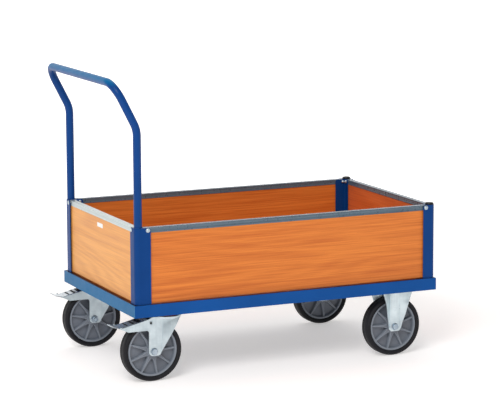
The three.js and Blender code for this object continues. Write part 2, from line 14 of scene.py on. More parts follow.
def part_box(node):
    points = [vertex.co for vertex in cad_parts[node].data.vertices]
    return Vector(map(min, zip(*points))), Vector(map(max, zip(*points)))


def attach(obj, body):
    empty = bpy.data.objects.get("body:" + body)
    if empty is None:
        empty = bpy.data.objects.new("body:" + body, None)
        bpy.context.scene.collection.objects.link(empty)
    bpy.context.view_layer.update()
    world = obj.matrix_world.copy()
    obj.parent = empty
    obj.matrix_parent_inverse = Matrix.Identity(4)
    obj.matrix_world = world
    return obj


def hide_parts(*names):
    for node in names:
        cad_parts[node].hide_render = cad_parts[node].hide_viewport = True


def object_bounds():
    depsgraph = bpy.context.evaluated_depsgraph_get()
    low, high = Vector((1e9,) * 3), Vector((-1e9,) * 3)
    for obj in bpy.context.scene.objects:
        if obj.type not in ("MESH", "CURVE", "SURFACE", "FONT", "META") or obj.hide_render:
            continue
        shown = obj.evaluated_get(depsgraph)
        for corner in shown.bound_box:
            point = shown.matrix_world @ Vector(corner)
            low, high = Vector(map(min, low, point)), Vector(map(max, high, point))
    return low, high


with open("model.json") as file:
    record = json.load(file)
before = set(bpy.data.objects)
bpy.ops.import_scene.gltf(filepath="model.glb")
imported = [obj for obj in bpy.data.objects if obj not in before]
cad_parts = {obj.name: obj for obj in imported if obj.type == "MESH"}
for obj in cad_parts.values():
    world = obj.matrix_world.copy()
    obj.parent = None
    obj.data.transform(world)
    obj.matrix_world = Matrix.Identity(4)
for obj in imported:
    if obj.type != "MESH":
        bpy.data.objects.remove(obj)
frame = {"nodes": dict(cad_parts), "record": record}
CAD_LOW, CAD_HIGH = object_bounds()

MM = 0.001
ROOT = "root"
SIDES = {"right": -1, "left": 1}
ENDS = {"rear": -1, "front": 1}


# ---------- camera ----------
VIEW_AZIMUTH = -24.152
VIEW_ELEVATION = 9.623
VIEW_ROLL = -0.246
VIEW_DISTANCE = 7.843       # from the middle of the object's box
VIEW_PAN = (0.0358, -0.0074)
LENS = 168.44


def make_camera():
    data = bpy.data.cameras.new("camera")
    data.lens = LENS
    data.sensor_width = 36
    camera = bpy.data.objects.new("camera", data)
    bpy.context.scene.collection.objects.link(camera)
    azimuth, elevation = math.radians(VIEW_AZIMUTH), math.radians(VIEW_ELEVATION)
    back = Vector((math.sin(azimuth) * math.cos(elevation),
                   -math.cos(azimuth) * math.cos(elevation), math.sin(elevation)))
    right = Vector((math.cos(azimuth), math.sin(azimuth), 0))
    up = back.cross(right)
    place = (CAD_LOW + CAD_HIGH) / 2 + back * VIEW_DISTANCE
    place += right * VIEW_PAN[0] + up * VIEW_PAN[1]
    turn = Matrix((right, up, back)).transposed().to_4x4()
    roll = Matrix.Rotation(math.radians(VIEW_ROLL), 4, "Z")
    camera.matrix_world = Matrix.Translation(place) @ turn @ roll
    bpy.context.scene.camera = camera


make_camera()


# ---------- materials ----------
class Surface:
    """A principled material, with short calls that add nodes to it."""

    def __init__(self, name, **constants):
        self.material = bpy.data.materials.new(name)
        self.material.use_nodes = True
        self.tree = self.material.node_tree
        self.bsdf = self.tree.nodes["Principled BSDF"]
        for socket, value in constants.items():
            self.bsdf.inputs[socket.replace("_", " ")].default_value = value
        self.place = self.tree.nodes.new("ShaderNodeTexCoord").outputs["Object"]

    def node(self, kind, output, links=(), **settings):
        made = self.tree.nodes.new(kind)
        for key, value in settings.items():
            setattr(made, key, value)
        for socket, value in dict(links).items():
            self.feed(made.inputs[socket], value)
        return made.outputs[output]

    def feed(self, socket, value):
        if isinstance(value, bpy.types.NodeSocket):
            self.tree.links.new(value, socket)
        else:
            socket.default_value = value

    def stretched(self, x, y, z):
        """The object's own coordinates, each multiplied."""
        return self.node("ShaderNodeMapping", "Vector", {"Vector": self.place, "Scale": (x, y, z)})

    def noise(self, vector, scale, detail=2.0, roughness=0.5, distortion=0.0):
        return self.node("ShaderNodeTexNoise", "Fac", {
            "Vector": vector, "Scale": scale, "Detail": detail, "Roughness": roughness,
            "Distortion": distortion})

    def sum(self, a, b, operation="ADD"):
        return self.node("ShaderNodeMath", "Value", {0: a, 1: b}, operation=operation)

    def spread(self, value, low, high, new_low=0.0, new_high=1.0):
        return self.node("ShaderNodeMapRange", "Result", {
            "Value": value, "From Min": low, "From Max": high, "To Min": new_low, "To Max": new_high})

    def blend(self, factor, a, b):
        return self.node("ShaderNodeMix", 2, {0: factor, 6: a, 7: b}, data_type="RGBA")

    def colour(self, value):
        self.feed(self.bsdf.inputs["Base Color"], value)

    def roughness(self, value, low, high):
        self.feed(self.bsdf.inputs["Roughness"], self.spread(value, 0.25, 0.75, low, high))

    def bump(self, height, depth, strength=1.0):
        self.feed(self.bsdf.inputs["Normal"], self.node("ShaderNodeBump", "Normal", {
            "Height": height, "Distance": depth, "Strength": strength}))


def srgb(red, green, blue):
    """A colour given in the usual 0 to 255 steps, as the shader wants it."""
    def linear(step):
        share = step / 255
        return share / 12.92 if share <= 0.04045 else ((share + 0.055) / 1.055) ** 2.4
    return (linear(red), linear(green), linear(blue), 1.0)


# Painted sheen: a greener, lighter blue that stands in for the light some faces catch and reflect.
SHEEN_BLUE = srgb(4, 104, 154)
PAINTED_SHEEN_SHARE = 0.9            # how far a full painted sheen goes towards the sheen blue


def painted_steel(name, dark, light, coat=0.0, painted_sheen=None):
    """Powder coat: faint orange peel and a slow drift of tone and gloss. A painted sheen is (node, output,
    direction, from, to): where that vector points along the direction, the blue turns greener and lighter,
    painted in for the light reflected there."""
    s = Surface(name, Specular_IOR_Level=0.09, Coat_Weight=coat, Coat_Roughness=0.1)
    drift = s.noise(s.place, 5, 3)
    blue = s.blend(s.spread(drift, 0.3, 0.7), dark, light)
    if painted_sheen:
        kind, output, direction, low, high = painted_sheen
        share = s.node("ShaderNodeVectorMath", "Value", {0: s.node(kind, output), 1: direction},
                       operation="DOT_PRODUCT")
        blue = s.blend(s.spread(share, low, high, 0.0, PAINTED_SHEEN_SHARE), blue, SHEEN_BLUE)
    s.colour(blue)
    s.roughness(s.noise(s.place, 40, 4), 0.3, 0.42)
    s.bump(s.noise(s.place, 420, 2), 0.0001, 0.5)
    return s.material


# Painted shade on the deck board: dark brown along its border, in the gap under the walls, and on its
# underside.
PAINTED_SHADE_BROWN = srgb(52, 32, 24)
SHADE_BORDER = (0.012, 0.010)      # distances from a board's edge where the painted shade starts and is full
SHADE_DEPTH = (0.0015, 0.002)      # depths below a board's face where the painted shade starts and is full
FLAME_RINGS = 95.0                  # how tightly the flame figure is drawn
FLECK_BROWN = srgb(130, 60, 24)


def painted_shade_share(s, low, high):
    """1 on the border and the underside of a board with these corners, 0 on its face; it masks the painted
    shade.
    """
    axes = s.tree.nodes.new("ShaderNodeSeparateXYZ")
    s.feed(axes.inputs[0], s.place)
    share = 0.0
    for i in range(2):
        middle, half = (low[i] + high[i]) / 2, (high[i] - low[i]) / 2
        from_middle = s.sum(s.sum(axes.outputs[i], middle, "SUBTRACT"), 0.0, "ABSOLUTE")
        inset = s.sum(half, from_middle, "SUBTRACT")
        share = s.sum(share, s.spread(inset, *SHADE_BORDER), "MAXIMUM")
    depth = s.sum(high.z, axes.outputs[2], "SUBTRACT")
    return s.sum(share, s.spread(depth, *SHADE_DEPTH), "MAXIMUM")


def beech(name, along, flame_share, dark, light, shaded_box=None):
    """Beech-faced board with its grain along one axis: flame figure, streaks, fibre and short flecks.
    With a shaded box, given as two corners, its border and its underside get painted shade: a dark brown
    for the shadow in the gap round the board and beneath it."""
    s = Surface(name, Specular_IOR_Level=0.35)

    def grain(length, width):
        scale = [1 / width] * 3
        scale["xyz".index(along)] = 1 / length
        return s.stretched(*scale)

    slow = s.noise(grain(1.2, 0.15), 1.0, 1.0, 0.4, 0.2)
    wave = s.node("ShaderNodeMath", "Value", {0: s.sum(slow, FLAME_RINGS, "MULTIPLY")},
                  operation="SINE")
    flame = s.spread(wave, -1, 1)
    streaks = s.noise(grain(0.24, 0.0046), 1.0, 2.0, 0.5, 0.3)
    band = s.noise(grain(0.7, 0.03), 1.0, 1.0, 0.5, 0.3)
    fibre = s.noise(grain(0.05, 0.0016), 1.0, 3.0, 0.6)
    fleck = s.spread(s.noise(grain(0.009, 0.0014), 1.0, 1.0), 0.66, 0.74)
    figure = s.sum(s.sum(flame, flame_share, "MULTIPLY"), s.sum(streaks, 1 - flame_share, "MULTIPLY"))
    tone = s.sum(s.sum(figure, 0.8, "MULTIPLY"), s.sum(fibre, 0.2, "MULTIPLY"))
    tone = s.sum(s.sum(tone, 0.72, "MULTIPLY"), s.sum(band, 0.28, "MULTIPLY"))
    board = s.blend(s.spread(tone, 0.3, 0.62), dark, light)
    line = s.spread(s.noise(grain(0.2, 0.0032), 1.0, 1.0, 0.5, 0.4), 0.58, 0.66)
    board = s.blend(s.sum(line, 0.3, "MULTIPLY"), board, dark)
    board = s.blend(s.sum(fleck, 0.14, "MULTIPLY"), board, FLECK_BROWN)
    # painted shade on the board's border and underside
    if shaded_box:
        board = s.blend(painted_shade_share(s, *shaded_box), board, PAINTED_SHADE_BROWN)
    s.colour(board)
    s.roughness(streaks, 0.4, 0.54)
    s.bump(s.sum(fibre, fleck, "SUBTRACT"), 0.00008, 0.4)
    return s.material


def bright_metal(name, dark, light, rough, metallic, line_share, stain_share=0.4):
    """Plated or drawn metal: soft clouds, fine level lines, uneven gloss."""
    s = Surface(name, Metallic=metallic)
    cloud = s.noise(s.place, 24, 3, 0.5)
    lines = s.noise(s.stretched(1.5, 1.5, 300), 1, 1)
    mixed = s.sum(s.sum(cloud, 1 - line_share, "MULTIPLY"), s.sum(lines, line_share, "MULTIPLY"))
    stain = s.spread(s.noise(s.stretched(95, 95, 7), 1, 2), 0.5, 0.72, 0.0, stain_share)
    s.colour(s.blend(stain, s.blend(s.spread(mixed, 0.32, 0.68), dark, light), dark))
    s.roughness(s.noise(s.place, 60, 2), rough - 0.03, rough + 0.05)
    s.bump(s.sum(s.noise(s.place, 240, 2), lines), 0.00004, 0.4)
    return s.material


def moulded(name, dark, light, rough, grain_size, depth, specular=0.4):
    """Rubber, moulded plastic or film: a tight grain and dusty patches."""
    s = Surface(name, Specular_IOR_Level=specular)
    dust = s.noise(s.place, 14, 5, 0.6)
    s.colour(s.blend(s.spread(dust, 0.35, 0.75), dark, light))
    s.roughness(dust, rough - 0.06, rough + 0.08)
    s.bump(s.noise(s.place, 1 / grain_size, 3), depth, 0.6)
    return s.material


def paint_ridge_highlights(material, tone):
    """Paints the raised parts of a moulding lighter, a painted highlight where light catches them,
    following its "ridge" attribute.
    """
    tree = material.node_tree
    base = tree.nodes["Principled BSDF"].inputs["Base Color"]
    ridge = tree.nodes.new("ShaderNodeAttribute")
    ridge.attribute_name = "ridge"
    mix = tree.nodes.new("ShaderNodeMix")
    mix.data_type = "RGBA"
    tree.links.new(ridge.outputs["Fac"], mix.inputs[0])
    tree.links.new(base.links[0].from_socket, mix.inputs[6])
    mix.inputs[7].default_value = tone
    tree.links.new(mix.outputs[2], base)


DEEP_BLUES = srgb(9, 58, 118), srgb(13, 65, 132)
PAINT = painted_steel("blue_paint", *DEEP_BLUES)
# The frame's copy is a lit copy of the paint. Its blues are a little lighter than the posts', and faces
# turned left and up get a painted sheen. The tube's copy gets the painted sheen along its top bar.
FRAME_PAINT = painted_steel("blue_paint_frame_painted_sheen", srgb(14, 72, 138), srgb(18, 80, 152), 0.0,
                            ("ShaderNodeNewGeometry", "Normal", (-1.0, 0.0, 0.5), 0.35, 0.95))
TUBE_PAINT = painted_steel("blue_paint_tube_painted_sheen", *DEEP_BLUES, 0.08,
                           ("ShaderNodeTexCoord", "Object", (0.0, 0.0, 1.0), 0.955, 0.972))
LONG_TONES = srgb(188, 92, 29), srgb(225, 129, 51)
DECK = beech("beech_deck", "x", 0.1, *LONG_TONES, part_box("deck_board"))
BEECH_X = beech("beech_board_lengthwise", "x", 0.1, *LONG_TONES)
# The rear and front boards are lit and shaded copies of one beech. The rear board's paler tones are painted
# light, and the front board's darker, redder tones are painted shade.
BEECH_REAR_PAINTED_LIGHT = beech("beech_board_rear_painted_light", "y", 0.2, srgb(212, 138, 70), srgb(238, 170, 92))
BEECH_FRONT_PAINTED_SHADE = beech("beech_board_front_painted_shade", "y", 0.15, srgb(190, 86, 34), srgb(222, 116, 56))
ZINC = bright_metal("zinc_steel", srgb(181, 195, 202), srgb(214, 227, 232), 0.3, 0.8, 0.1)
BOLT = bright_metal("bolt_steel", srgb(132, 148, 162), srgb(176, 190, 202), 0.22, 0.95, 0.1)
# The pedal's chrome tones are set darker than the zinc: a painted dark reflection.
CHROME = bright_metal("chrome_steel", srgb(138, 148, 155), srgb(186, 195, 201), 0.22, 0.6, 0.1)
# One steel edging in two copies. The dark slate tones paint a dark reflection on the sides and front, and
# the rear copy's pale tones paint a bright reflection.
EDGING = bright_metal("edging_steel", srgb(74, 92, 106), srgb(100, 118, 131), 0.28, 0.25, 0.7, 0.0)
EDGING_REAR_PAINTED_BRIGHT = bright_metal("edging_steel_rear_painted_bright", srgb(160, 172, 172), srgb(190, 200, 199),
                           0.3, 0.5, 0.8, 0.0)
TYRE = moulded("tyre_rubber", srgb(19, 19, 23), srgb(31, 31, 36), 0.6, 0.0016, 0.00015, 0.25)
SHOE = moulded("black_rubber", srgb(24, 24, 26), srgb(38, 38, 40), 0.7, 0.001, 0.00015, 0.25)
CAP = moulded("black_plastic", srgb(11, 11, 13), srgb(19, 19, 22), 0.38, 0.0008, 0.00008)
RIM = moulded("wheel_grey", srgb(100, 106, 116), srgb(114, 120, 130), 0.36, 0.0009, 0.00008)
# painted highlight on the rim's rib edges, hub and flange
paint_ridge_highlights(RIM, srgb(146, 154, 164))
SEAL = moulded("red_seal", srgb(132, 46, 44), srgb(150, 60, 54), 0.55, 0.001, 0.0001)
LABEL = moulded("white_label", srgb(232, 232, 228), srgb(244, 244, 242), 0.35, 0.002, 0.00004)


# ---------- mesh helpers ----------
def make_piece(name, bm, material, body, replaced=(), smooth=35):
    """Turns a bmesh into a piece that rides on a body and stands for CAD nodes."""
    bmesh.ops.recalc_face_normals(bm, faces=bm.faces)
    mesh = bpy.data.meshes.new(name)
    bm.to_mesh(mesh)
    bm.free()
    mesh.shade_smooth()
    mesh.set_sharp_from_angle(angle=math.radians(smooth))
    mesh.materials.append(material)
    piece = bpy.data.objects.new(name, mesh)
    bpy.context.scene.collection.objects.link(piece)
    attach(piece, body)
    if replaced:
        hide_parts(*replaced)
    return piece


def soften(piece, width, segments=3, angle=32):
    """Rounds the edges of a piece and evens out its shading."""
    bevel = piece.modifiers.new("rounded_edges", "BEVEL")
    bevel.width = width
    bevel.segments = segments
    bevel.limit_method = "ANGLE"
    bevel.angle_limit = math.radians(angle)
    normals = piece.modifiers.new("even_shading", "WEIGHTED_NORMAL")
    normals.keep_sharp = True
    return piece


def body_of_node(node):
    return next(body for body, nodes in frame["record"]["behaviour"]["bodies"].items() if node in nodes)


def refine(node, material, width, segments=3, angle=32):
    """A finished copy of a CAD node: joined faces, rounded edges, smooth curves."""
    bm = bmesh.new()
    bm.from_mesh(frame["nodes"][node].data)
    bmesh.ops.remove_doubles(bm, verts=bm.verts, dist=0.004 * MM)
    bmesh.ops.dissolve_limit(bm, angle_limit=math.radians(0.6), verts=bm.verts, edges=bm.edges)
    piece = make_piece(f"{node}_finish", bm, material, body_of_node(node), [node], smooth=angle)
    return soften(piece, width, segments, angle)


def skin(bm, rings, loop=False):
    """Quads between rings of points that all have one count; the ends are closed unless it loops."""
    rows = [[bm.verts.new(point) for point in ring] for ring in rings]
    pairs = list(zip(rows, rows[1:]))
    if loop:
        pairs.append((rows[-1], rows[0]))
    for a, b in pairs:
        for i in range(len(a)):
            j = (i + 1) % len(a)
            bm.faces.new((a[i], a[j], b[j], b[i]))
    if not loop:
        bm.faces.new(list(reversed(rows[0])))
        bm.faces.new(rows[-1])


ALONG = {
    "x": Matrix(((0, 0, 1, 0), (1, 0, 0, 0), (0, 1, 0, 0), (0, 0, 0, 1))),
    "y": Matrix(((0, -1, 0, 0), (0, 0, 1, 0), (-1, 0, 0, 0), (0, 0, 0, 1))),
    "z": Matrix.Identity(4),
}


def turn(bm, profile, centre, axis, sides, direction=1, loop=False):
    """A turned solid. The profile lists (radius, distance along the axis), in mm; a radius may also be
    a function of the angle, which makes hexagons and recesses."""
    place = Matrix.Translation(centre) @ ALONG[axis]
    rings = []
    for radius, along in profile:
        ring = []
        for i in range(sides):
            angle = 2 * math.pi * i / sides
            r = radius(angle) if callable(radius) else radius
            point = Vector((r * math.cos(angle), r * math.sin(angle), direction * along))
            ring.append(place @ (point * MM))
        rings.append(ring)
    skin(bm, rings, loop)


def hexagon(across_corners, limit=math.inf):
    """The radius of a hexagon at an angle, held inside a circle, which chamfers its corners."""
    apothem = across_corners / 2 * math.cos(math.pi / 6)
    def radius(angle):
        offset = (angle + math.pi / 6) % (math.pi / 3) - math.pi / 6
        return min(apothem / math.cos(offset), limit)
    return radius


# ---------- chassis, boards, posts ----------
refine("frame", FRAME_PAINT, 1.0 * MM)
refine("deck_board", DECK, 0.6 * MM)
refine("rear_wall_panel", BEECH_REAR_PAINTED_LIGHT, 0.6 * MM)
refine("front_wall_panel", BEECH_FRONT_PAINTED_SHADE, 0.6 * MM)
for end in ENDS:
    for side in SIDES:
        refine(f"post_{end}_{side}", PAINT, 0.7 * MM)
for side in SIDES:
    refine(f"{side}_wall_panel", BEECH_X, 0.6 * MM)
refine("label_plate", LABEL, 0.1 * MM, 2)


# ---------- edging ----------
EDGE_WALL = 1.2
EDGE_ROUND = 1.1
GROOVE_DEPTH = 0.25
GROOVE_HALF = 0.7
TOP_GROOVE_HALF = 0.6
SIDE_GROOVES = (0.36, 0.66)         # as shares of the edging's height
TOP_GROOVES = (0.32, 0.68)          # as shares of its width


def arc(centre, radius, start, end, steps):
    """Points on an arc, angles in degrees, in the plane of the profile."""
    return [(centre[0] + radius * math.cos(math.radians(start + (end - start) * i / steps)),
             centre[1] + radius * math.sin(math.radians(start + (end - start) * i / steps)))
            for i in range(steps + 1)]


def groove_up(face, level, sign):
    """A shallow groove in an upright face, going up; sign points into the metal."""
    return [(face, level - GROOVE_HALF), (face + sign * GROOVE_DEPTH, level - GROOVE_HALF / 3),
            (face + sign * GROOVE_DEPTH, level + GROOVE_HALF / 3), (face, level + GROOVE_HALF)]


def edging(node):
    """The U-shaped edging over a wall board, with rounded shoulders and drawn grooves."""
    low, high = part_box(node)
    size = high - low
    lengthwise = size.x > size.y
    wide = (size.y if lengthwise else size.x) / MM
    tall = size.z / MM
    outer = [(0.0, 0.0)]
    for share in SIDE_GROOVES:
        outer += groove_up(0.0, tall * share, 1)
    outer += arc((EDGE_ROUND, tall - EDGE_ROUND), EDGE_ROUND, 180, 90, 4)
    top = []
    for share in TOP_GROOVES:
        middle = wide * share
        top += [(middle - TOP_GROOVE_HALF, tall), (middle, tall - GROOVE_DEPTH),
                (middle + TOP_GROOVE_HALF, tall)]
    inner = [(wide - u, v) for u, v in reversed(outer)]
    channel = [(wide - EDGE_WALL, 0.0), (wide - EDGE_WALL, tall - EDGE_WALL),
               (EDGE_WALL, tall - EDGE_WALL), (EDGE_WALL, 0.0)]
    profile = outer + top + inner + channel
    ends = (low.x, high.x) if lengthwise else (low.y, high.y)
    start = low.y if lengthwise else low.x
    rings = []
    for end in ends:
        if lengthwise:
            rings.append([Vector((end, start + u * MM, low.z + v * MM)) for u, v in profile])
        else:
            rings.append([Vector((start + u * MM, end, low.z + v * MM)) for u, v in profile])
    bm = bmesh.new()
    skin(bm, rings)
    # the rear edging takes the copy with the painted bright reflection
    material = EDGING_REAR_PAINTED_BRIGHT if node.startswith("rear") else EDGING
    return make_piece(f"{node}_profile", bm, material, ROOT, [node], smooth=30)


for wall in (*SIDES, *ENDS):
    edging(f"{wall}_wall_edging")


# ---------- screws and nuts of the walls ----------
HEAD_R = 7.0
SHANK_R = 2.9
SOCKET = 4.6
NUT_CORNERS = 10.4
END_PAST_SEAT = 5.0         # the screw's end, from where its nut sits


def wall_screw(node, axis, outward):
    """A button-head screw with a hexagon socket; outward is the sign of the head's side."""
    low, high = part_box(node)
    centre = (low + high) / 2
    index = "xyz".index(axis)
    face = (high if outward > 0 else low)[index]
    tip = (low if outward > 0 else high)[index]
    centre[index] = face
    length = abs(face - tip) / MM
    profile = [(hexagon(SOCKET - 0.6), -2.3), (hexagon(SOCKET), -1.9), (hexagon(SOCKET), -0.25),
               (2.75, 0.0), (3.6, -0.15), (4.6, -0.75), (5.25, -1.6), (5.4, -2.4), (HEAD_R - 0.3, -2.5),
               (HEAD_R, -2.8), (HEAD_R, -3.4), (HEAD_R - 0.2, -3.6), (SHANK_R, -3.6),
               (SHANK_R, 0.6 - length), (SHANK_R - 0.6, -length)]
    bm = bmesh.new()
    turn(bm, profile, centre, axis, 36, outward)
    make_piece(f"{node}_finish", bm, ZINC, ROOT, [node])
    seat = centre.copy()
    seat[index] -= outward * (length - END_PAST_SEAT) * MM
    nut = [(SHANK_R, 0.0), (hexagon(NUT_CORNERS, 4.9), 0.0), (hexagon(NUT_CORNERS), -0.5),
           (hexagon(NUT_CORNERS), -3.4), (hexagon(NUT_CORNERS, 4.5), -4.0), (4.2, -4.2), (4.0, -5.2),
           (3.4, -6.4), (2.3, -7.2), (1.0, -7.5)]
    bm = bmesh.new()
    turn(bm, nut, seat, axis, 36, outward)
    make_piece(node.replace("screw", "cap_nut"), bm, ZINC, ROOT)


for end, end_sign in ENDS.items():
    for side, side_sign in SIDES.items():
        wall_screw(f"screw_side_{end}_{side}", "y", side_sign)
        wall_screw(f"screw_end_{end}_{side}", "x", end_sign)


# ---------- caps on the front posts ----------
def post_cap(side):
    """A domed cap on a front post, with its plug inside the tube."""
    node = f"cap_front_{side}"
    low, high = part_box(node)
    centre = (low + high) / 2
    centre.z = high.z
    radius = (high.x - low.x) / 2 / MM
    profile = [(0.6, 0.0), (radius - 5, -0.25), (radius - 3, -0.7), (radius - 1.2, -1.7),
               (radius - 0.3, -3.0), (radius, -4.4), (radius, -6.6), (radius - 0.3, -7.0),
               (radius - 1.9, -7.0), (radius - 1.9, -20.0), (radius - 2.6, -21.0)]
    bm = bmesh.new()
    turn(bm, profile, centre, "z", 48)
    make_piece(f"{node}_finish", bm, CAP, ROOT, [node])


for side in SIDES:
    post_cap(side)


# ---------- push handle ----------
TUBE_R = 13 * MM
TUBE_WALL = 2 * MM
KINK_Z = 818 * MM
KINK_BEND = 90 * MM
CORNER_BEND = 60 * MM
RIVET_Z = 527 * MM
RIVET_SUNK = 0.3 * MM


def rounded_path(corners, radii, steps):
    """Points along straight runs whose corners are rounded to the given radii."""
    points = [corners[0]]
    for before, corner, after, radius in zip(corners, corners[1:], corners[2:], radii):
        back, ahead = (before - corner).normalized(), (after - corner).normalized()
        half = back.angle(ahead) / 2
        centre = corner + (back + ahead).normalized() * (radius / math.sin(half))
        start = corner + back * (radius / math.tan(half)) - centre
        end = corner + ahead * (radius / math.tan(half)) - centre
        axis = start.cross(end).normalized()
        sweep = start.angle(end)
        for i in range(steps + 1):
            points.append(centre + Matrix.Rotation(sweep * i / steps, 3, axis) @ start)
    points.append(corners[-1])
    return points


def swept_rings(points, radius, sides):
    """Rings square to a path, carried along it without twist."""
    rings = []
    normal = None
    for i, point in enumerate(points):
        ahead = points[min(i + 1, len(points) - 1)] - points[max(i - 1, 0)]
        tangent = ahead.normalized()
        if normal is None:
            normal = tangent.orthogonal().normalized()
        normal = (normal - tangent * normal.dot(tangent)).normalized()
        side = tangent.cross(normal)
        rings.append([point + (normal * math.cos(a) + side * math.sin(a)) * radius
                      for a in (2 * math.pi * k / sides for k in range(sides))])
    return rings


def push_handle():
    """The bent tube, open at its feet, as one closed skin of its outside and its bore."""
    low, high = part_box("push_handle")
    bar_x, leg_x = low.x + TUBE_R, high.x - TUBE_R
    y, bar_z = high.y - TUBE_R, high.z - TUBE_R
    corners = [Vector(p) for p in ((leg_x, -y, low.z), (leg_x, -y, KINK_Z), (bar_x, -y, bar_z),
                                   (bar_x, y, bar_z), (leg_x, y, KINK_Z), (leg_x, y, low.z))]
    path = rounded_path(corners, [KINK_BEND, CORNER_BEND, CORNER_BEND, KINK_BEND], 14)
    bm = bmesh.new()
    outside = swept_rings(path, TUBE_R, 32)
    inside = swept_rings(path, TUBE_R - TUBE_WALL, 32)
    skin(bm, outside + inside[::-1], loop=True)
    make_piece("push_handle_tube", bm, TUBE_PAINT, ROOT, ["push_handle"], smooth=50)


def handle_rivet(side, out):
    """A domed rivet in a leg of the handle, just above its socket."""
    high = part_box("push_handle")[1]
    place = Vector((high.x - TUBE_R, out * (high.y - RIVET_SUNK), RIVET_Z))
    bm = bmesh.new()
    turn(bm, [(3.4, -1.2), (3.4, 0.1), (2.9, 0.8), (1.9, 1.4), (0.6, 1.6)], place, "y", 24, out)
    make_piece(f"handle_rivet_{side}", bm, PAINT, ROOT)


push_handle()
for side, out in SIDES.items():
    handle_rivet(side, out)


# ---------- wheels ----------
TYRE_PROFILE = [(84.4, 18.6), (86.0, 19.6), (88.5, 20.6), (90.8, 21.6), (92.6, 22.0), (94.4, 21.8),
                (96.2, 20.9), (97.8, 19.2), (99.0, 17.0), (99.7, 14.4), (99.95, 11.5), (100.0, 8.0),
                (100.0, 1.2), (99.7, 0.5)]
RIBS = 9
HUB_R = 20.0
HUB_END = HUB_R + 0.5
HUB_RECESS = (13.0, 17.8)           # radii where the hub's recess is full depth and where it ends
HUB_RECESS_DEPTH = 1.2
HUB_SHOULDER = (18.6, 20.6)
FLANGE_IN = 77.6
FLANGE_FLAT = 78.9
RIM_OUT = 83.7
HUB_FACE = 26.0
FLANGE_FACE = 17.5
WEB_FACE = 5.0
BORE_R = 9.8
FILLET = 2.2
SEAT = 31.3                 # where the bolt's head and the nut sit, from the wheel's middle plane
BOLT_CORNERS = 22
BOLT_R = 5.9
AXLE_HOLE_R = 6.3


def wheel_centre(prefix):
    low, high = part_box(f"{prefix}_tyre")
    return (low + high) / 2


def tyre(prefix, body):
    profile = TYRE_PROFILE + [(r, -t) for r, t in reversed(TYRE_PROFILE)]
    bm = bmesh.new()
    turn(bm, profile, wheel_centre(prefix), "y", 144, loop=True)
    make_piece(f"{prefix}_tyre_finish", bm, TYRE, body, [f"{prefix}_tyre"], smooth=50)


def rib_half_width(r):
    """Half the width of a rib at its top: slim at the rim and flaring into the hub."""
    return 1.7 + 1.1 * (FLANGE_IN - r) / (FLANGE_IN - HUB_R) + 8.5 * math.exp(-(r - HUB_R) / 7.0)


def rib_height(r):
    """Height of a rib's top above the wheel's middle plane, falling from the hub to the rim."""
    share = (r - HUB_R) / (FLANGE_IN - HUB_R)
    return 20.5 - 6.0 * min(max(share, 0), 1) ** 0.8


def smooth_step(value, low, high):
    """0 below low, 1 above high, and an even curve between them."""
    t = min(max((value - low) / (high - low), 0), 1)
    return t * t * (3 - 2 * t)


RIM_RADII = [BORE_R, BORE_R + 0.6, 14.0, 17.8, 18.8, 19.6, 20.4, 21.4, 23.0, 25.0, 27.0, 29.0, 31.0, 33.0,
             35.0, 38.0, 42.0, 47.0, 53.0, 59.0, 65.0, 70.0, 73.0, 74.6, 75.6, 76.4, 77.0, 77.6, 78.2, 79.0,
             81.0, 82.6, 83.3, 83.7]


def rim_face(r, offset):
    """Height of the moulded face above the wheel's middle plane; offset is from a rib's middle line."""
    if r < HUB_RECESS[1]:
        return HUB_FACE - HUB_RECESS_DEPTH * (1 - smooth_step(r, *HUB_RECESS))
    if r < HUB_END:
        return HUB_FACE * (1 - smooth_step(r, *HUB_SHOULDER) * 0.22)
    if r > FLANGE_FLAT:
        return FLANGE_FACE - 1.3 * smooth_step(r, 82.2, RIM_OUT)
    half = rib_half_width(r)
    rib = 1 - smooth_step(abs(offset), half, half + FILLET)
    hub = 1 - smooth_step(r, HUB_R, HUB_R + 5.0)
    lip = smooth_step(r, 73.6, 77.8)
    height = WEB_FACE + (rib_height(r) - WEB_FACE) * max(rib, hub)
    return max(height, WEB_FACE + (FLANGE_FACE - WEB_FACE) * lip)


def ridge_highlight_share(r, offset):
    """How much painted highlight a spot of the moulding gets: the rib edges, the hub and the flange."""
    if r > 76.0 or r < HUB_END:
        return 0.45
    half = rib_half_width(r)
    edge = 1 - smooth_step(abs(offset - half), 0.0, FILLET)
    return 0.75 * edge if offset < half + FILLET else 0.0


def sector_offsets(r, room):
    """Where the grid lines of one sector run, from a rib's middle line to the next one's; room is
    half their distance. The lines follow the ribs' edges, and crowd together where room is short."""
    half = rib_half_width(max(r, HUB_R))
    marks = [0.0, half * 0.5, half * 0.85, half, half + FILLET * 0.3, half + FILLET * 0.6,
             half + FILLET, half + FILLET + 1.2]
    marks = [min(mark, room * (0.6 + 0.4 * i / 10)) for i, mark in enumerate(marks)]
    rest = room - marks[-1]
    marks += [marks[-1] + rest * share for share in (0.35, 0.7)]
    return marks + [room] + [2 * room - mark for mark in reversed(marks[1:])]


def rim(prefix, body, phase):
    """The moulded wheel, with its ribs turned by a phase."""
    centre = wheel_centre(prefix)
    half_sector = math.pi / RIBS
    rings = []
    ridge_highlights = []
    for face, radii in ((1, RIM_RADII), (-1, RIM_RADII[::-1])):
        for r in radii:
            room = r * half_sector
            ring = []
            for sector in range(RIBS):
                for offset in sector_offsets(r, room):
                    angle = phase + offset / r + sector * 2 * half_sector
                    nearest = min(offset, 2 * room - offset)
                    level = face * rim_face(r, nearest)
                    spot = Vector((r * math.sin(angle), level, r * math.cos(angle)))
                    ring.append(centre + spot * MM)
                    ridge_highlights.append(ridge_highlight_share(r, nearest))
            rings.append(ring)
    bm = bmesh.new()
    skin(bm, rings, loop=True)
    piece = make_piece(f"{prefix}_rim_finish", bm, RIM, body, [f"{prefix}_rim"], smooth=40)
    attribute = piece.data.attributes.new("ridge", "FLOAT", "POINT")
    attribute.data.foreach_set("value", ridge_highlights)


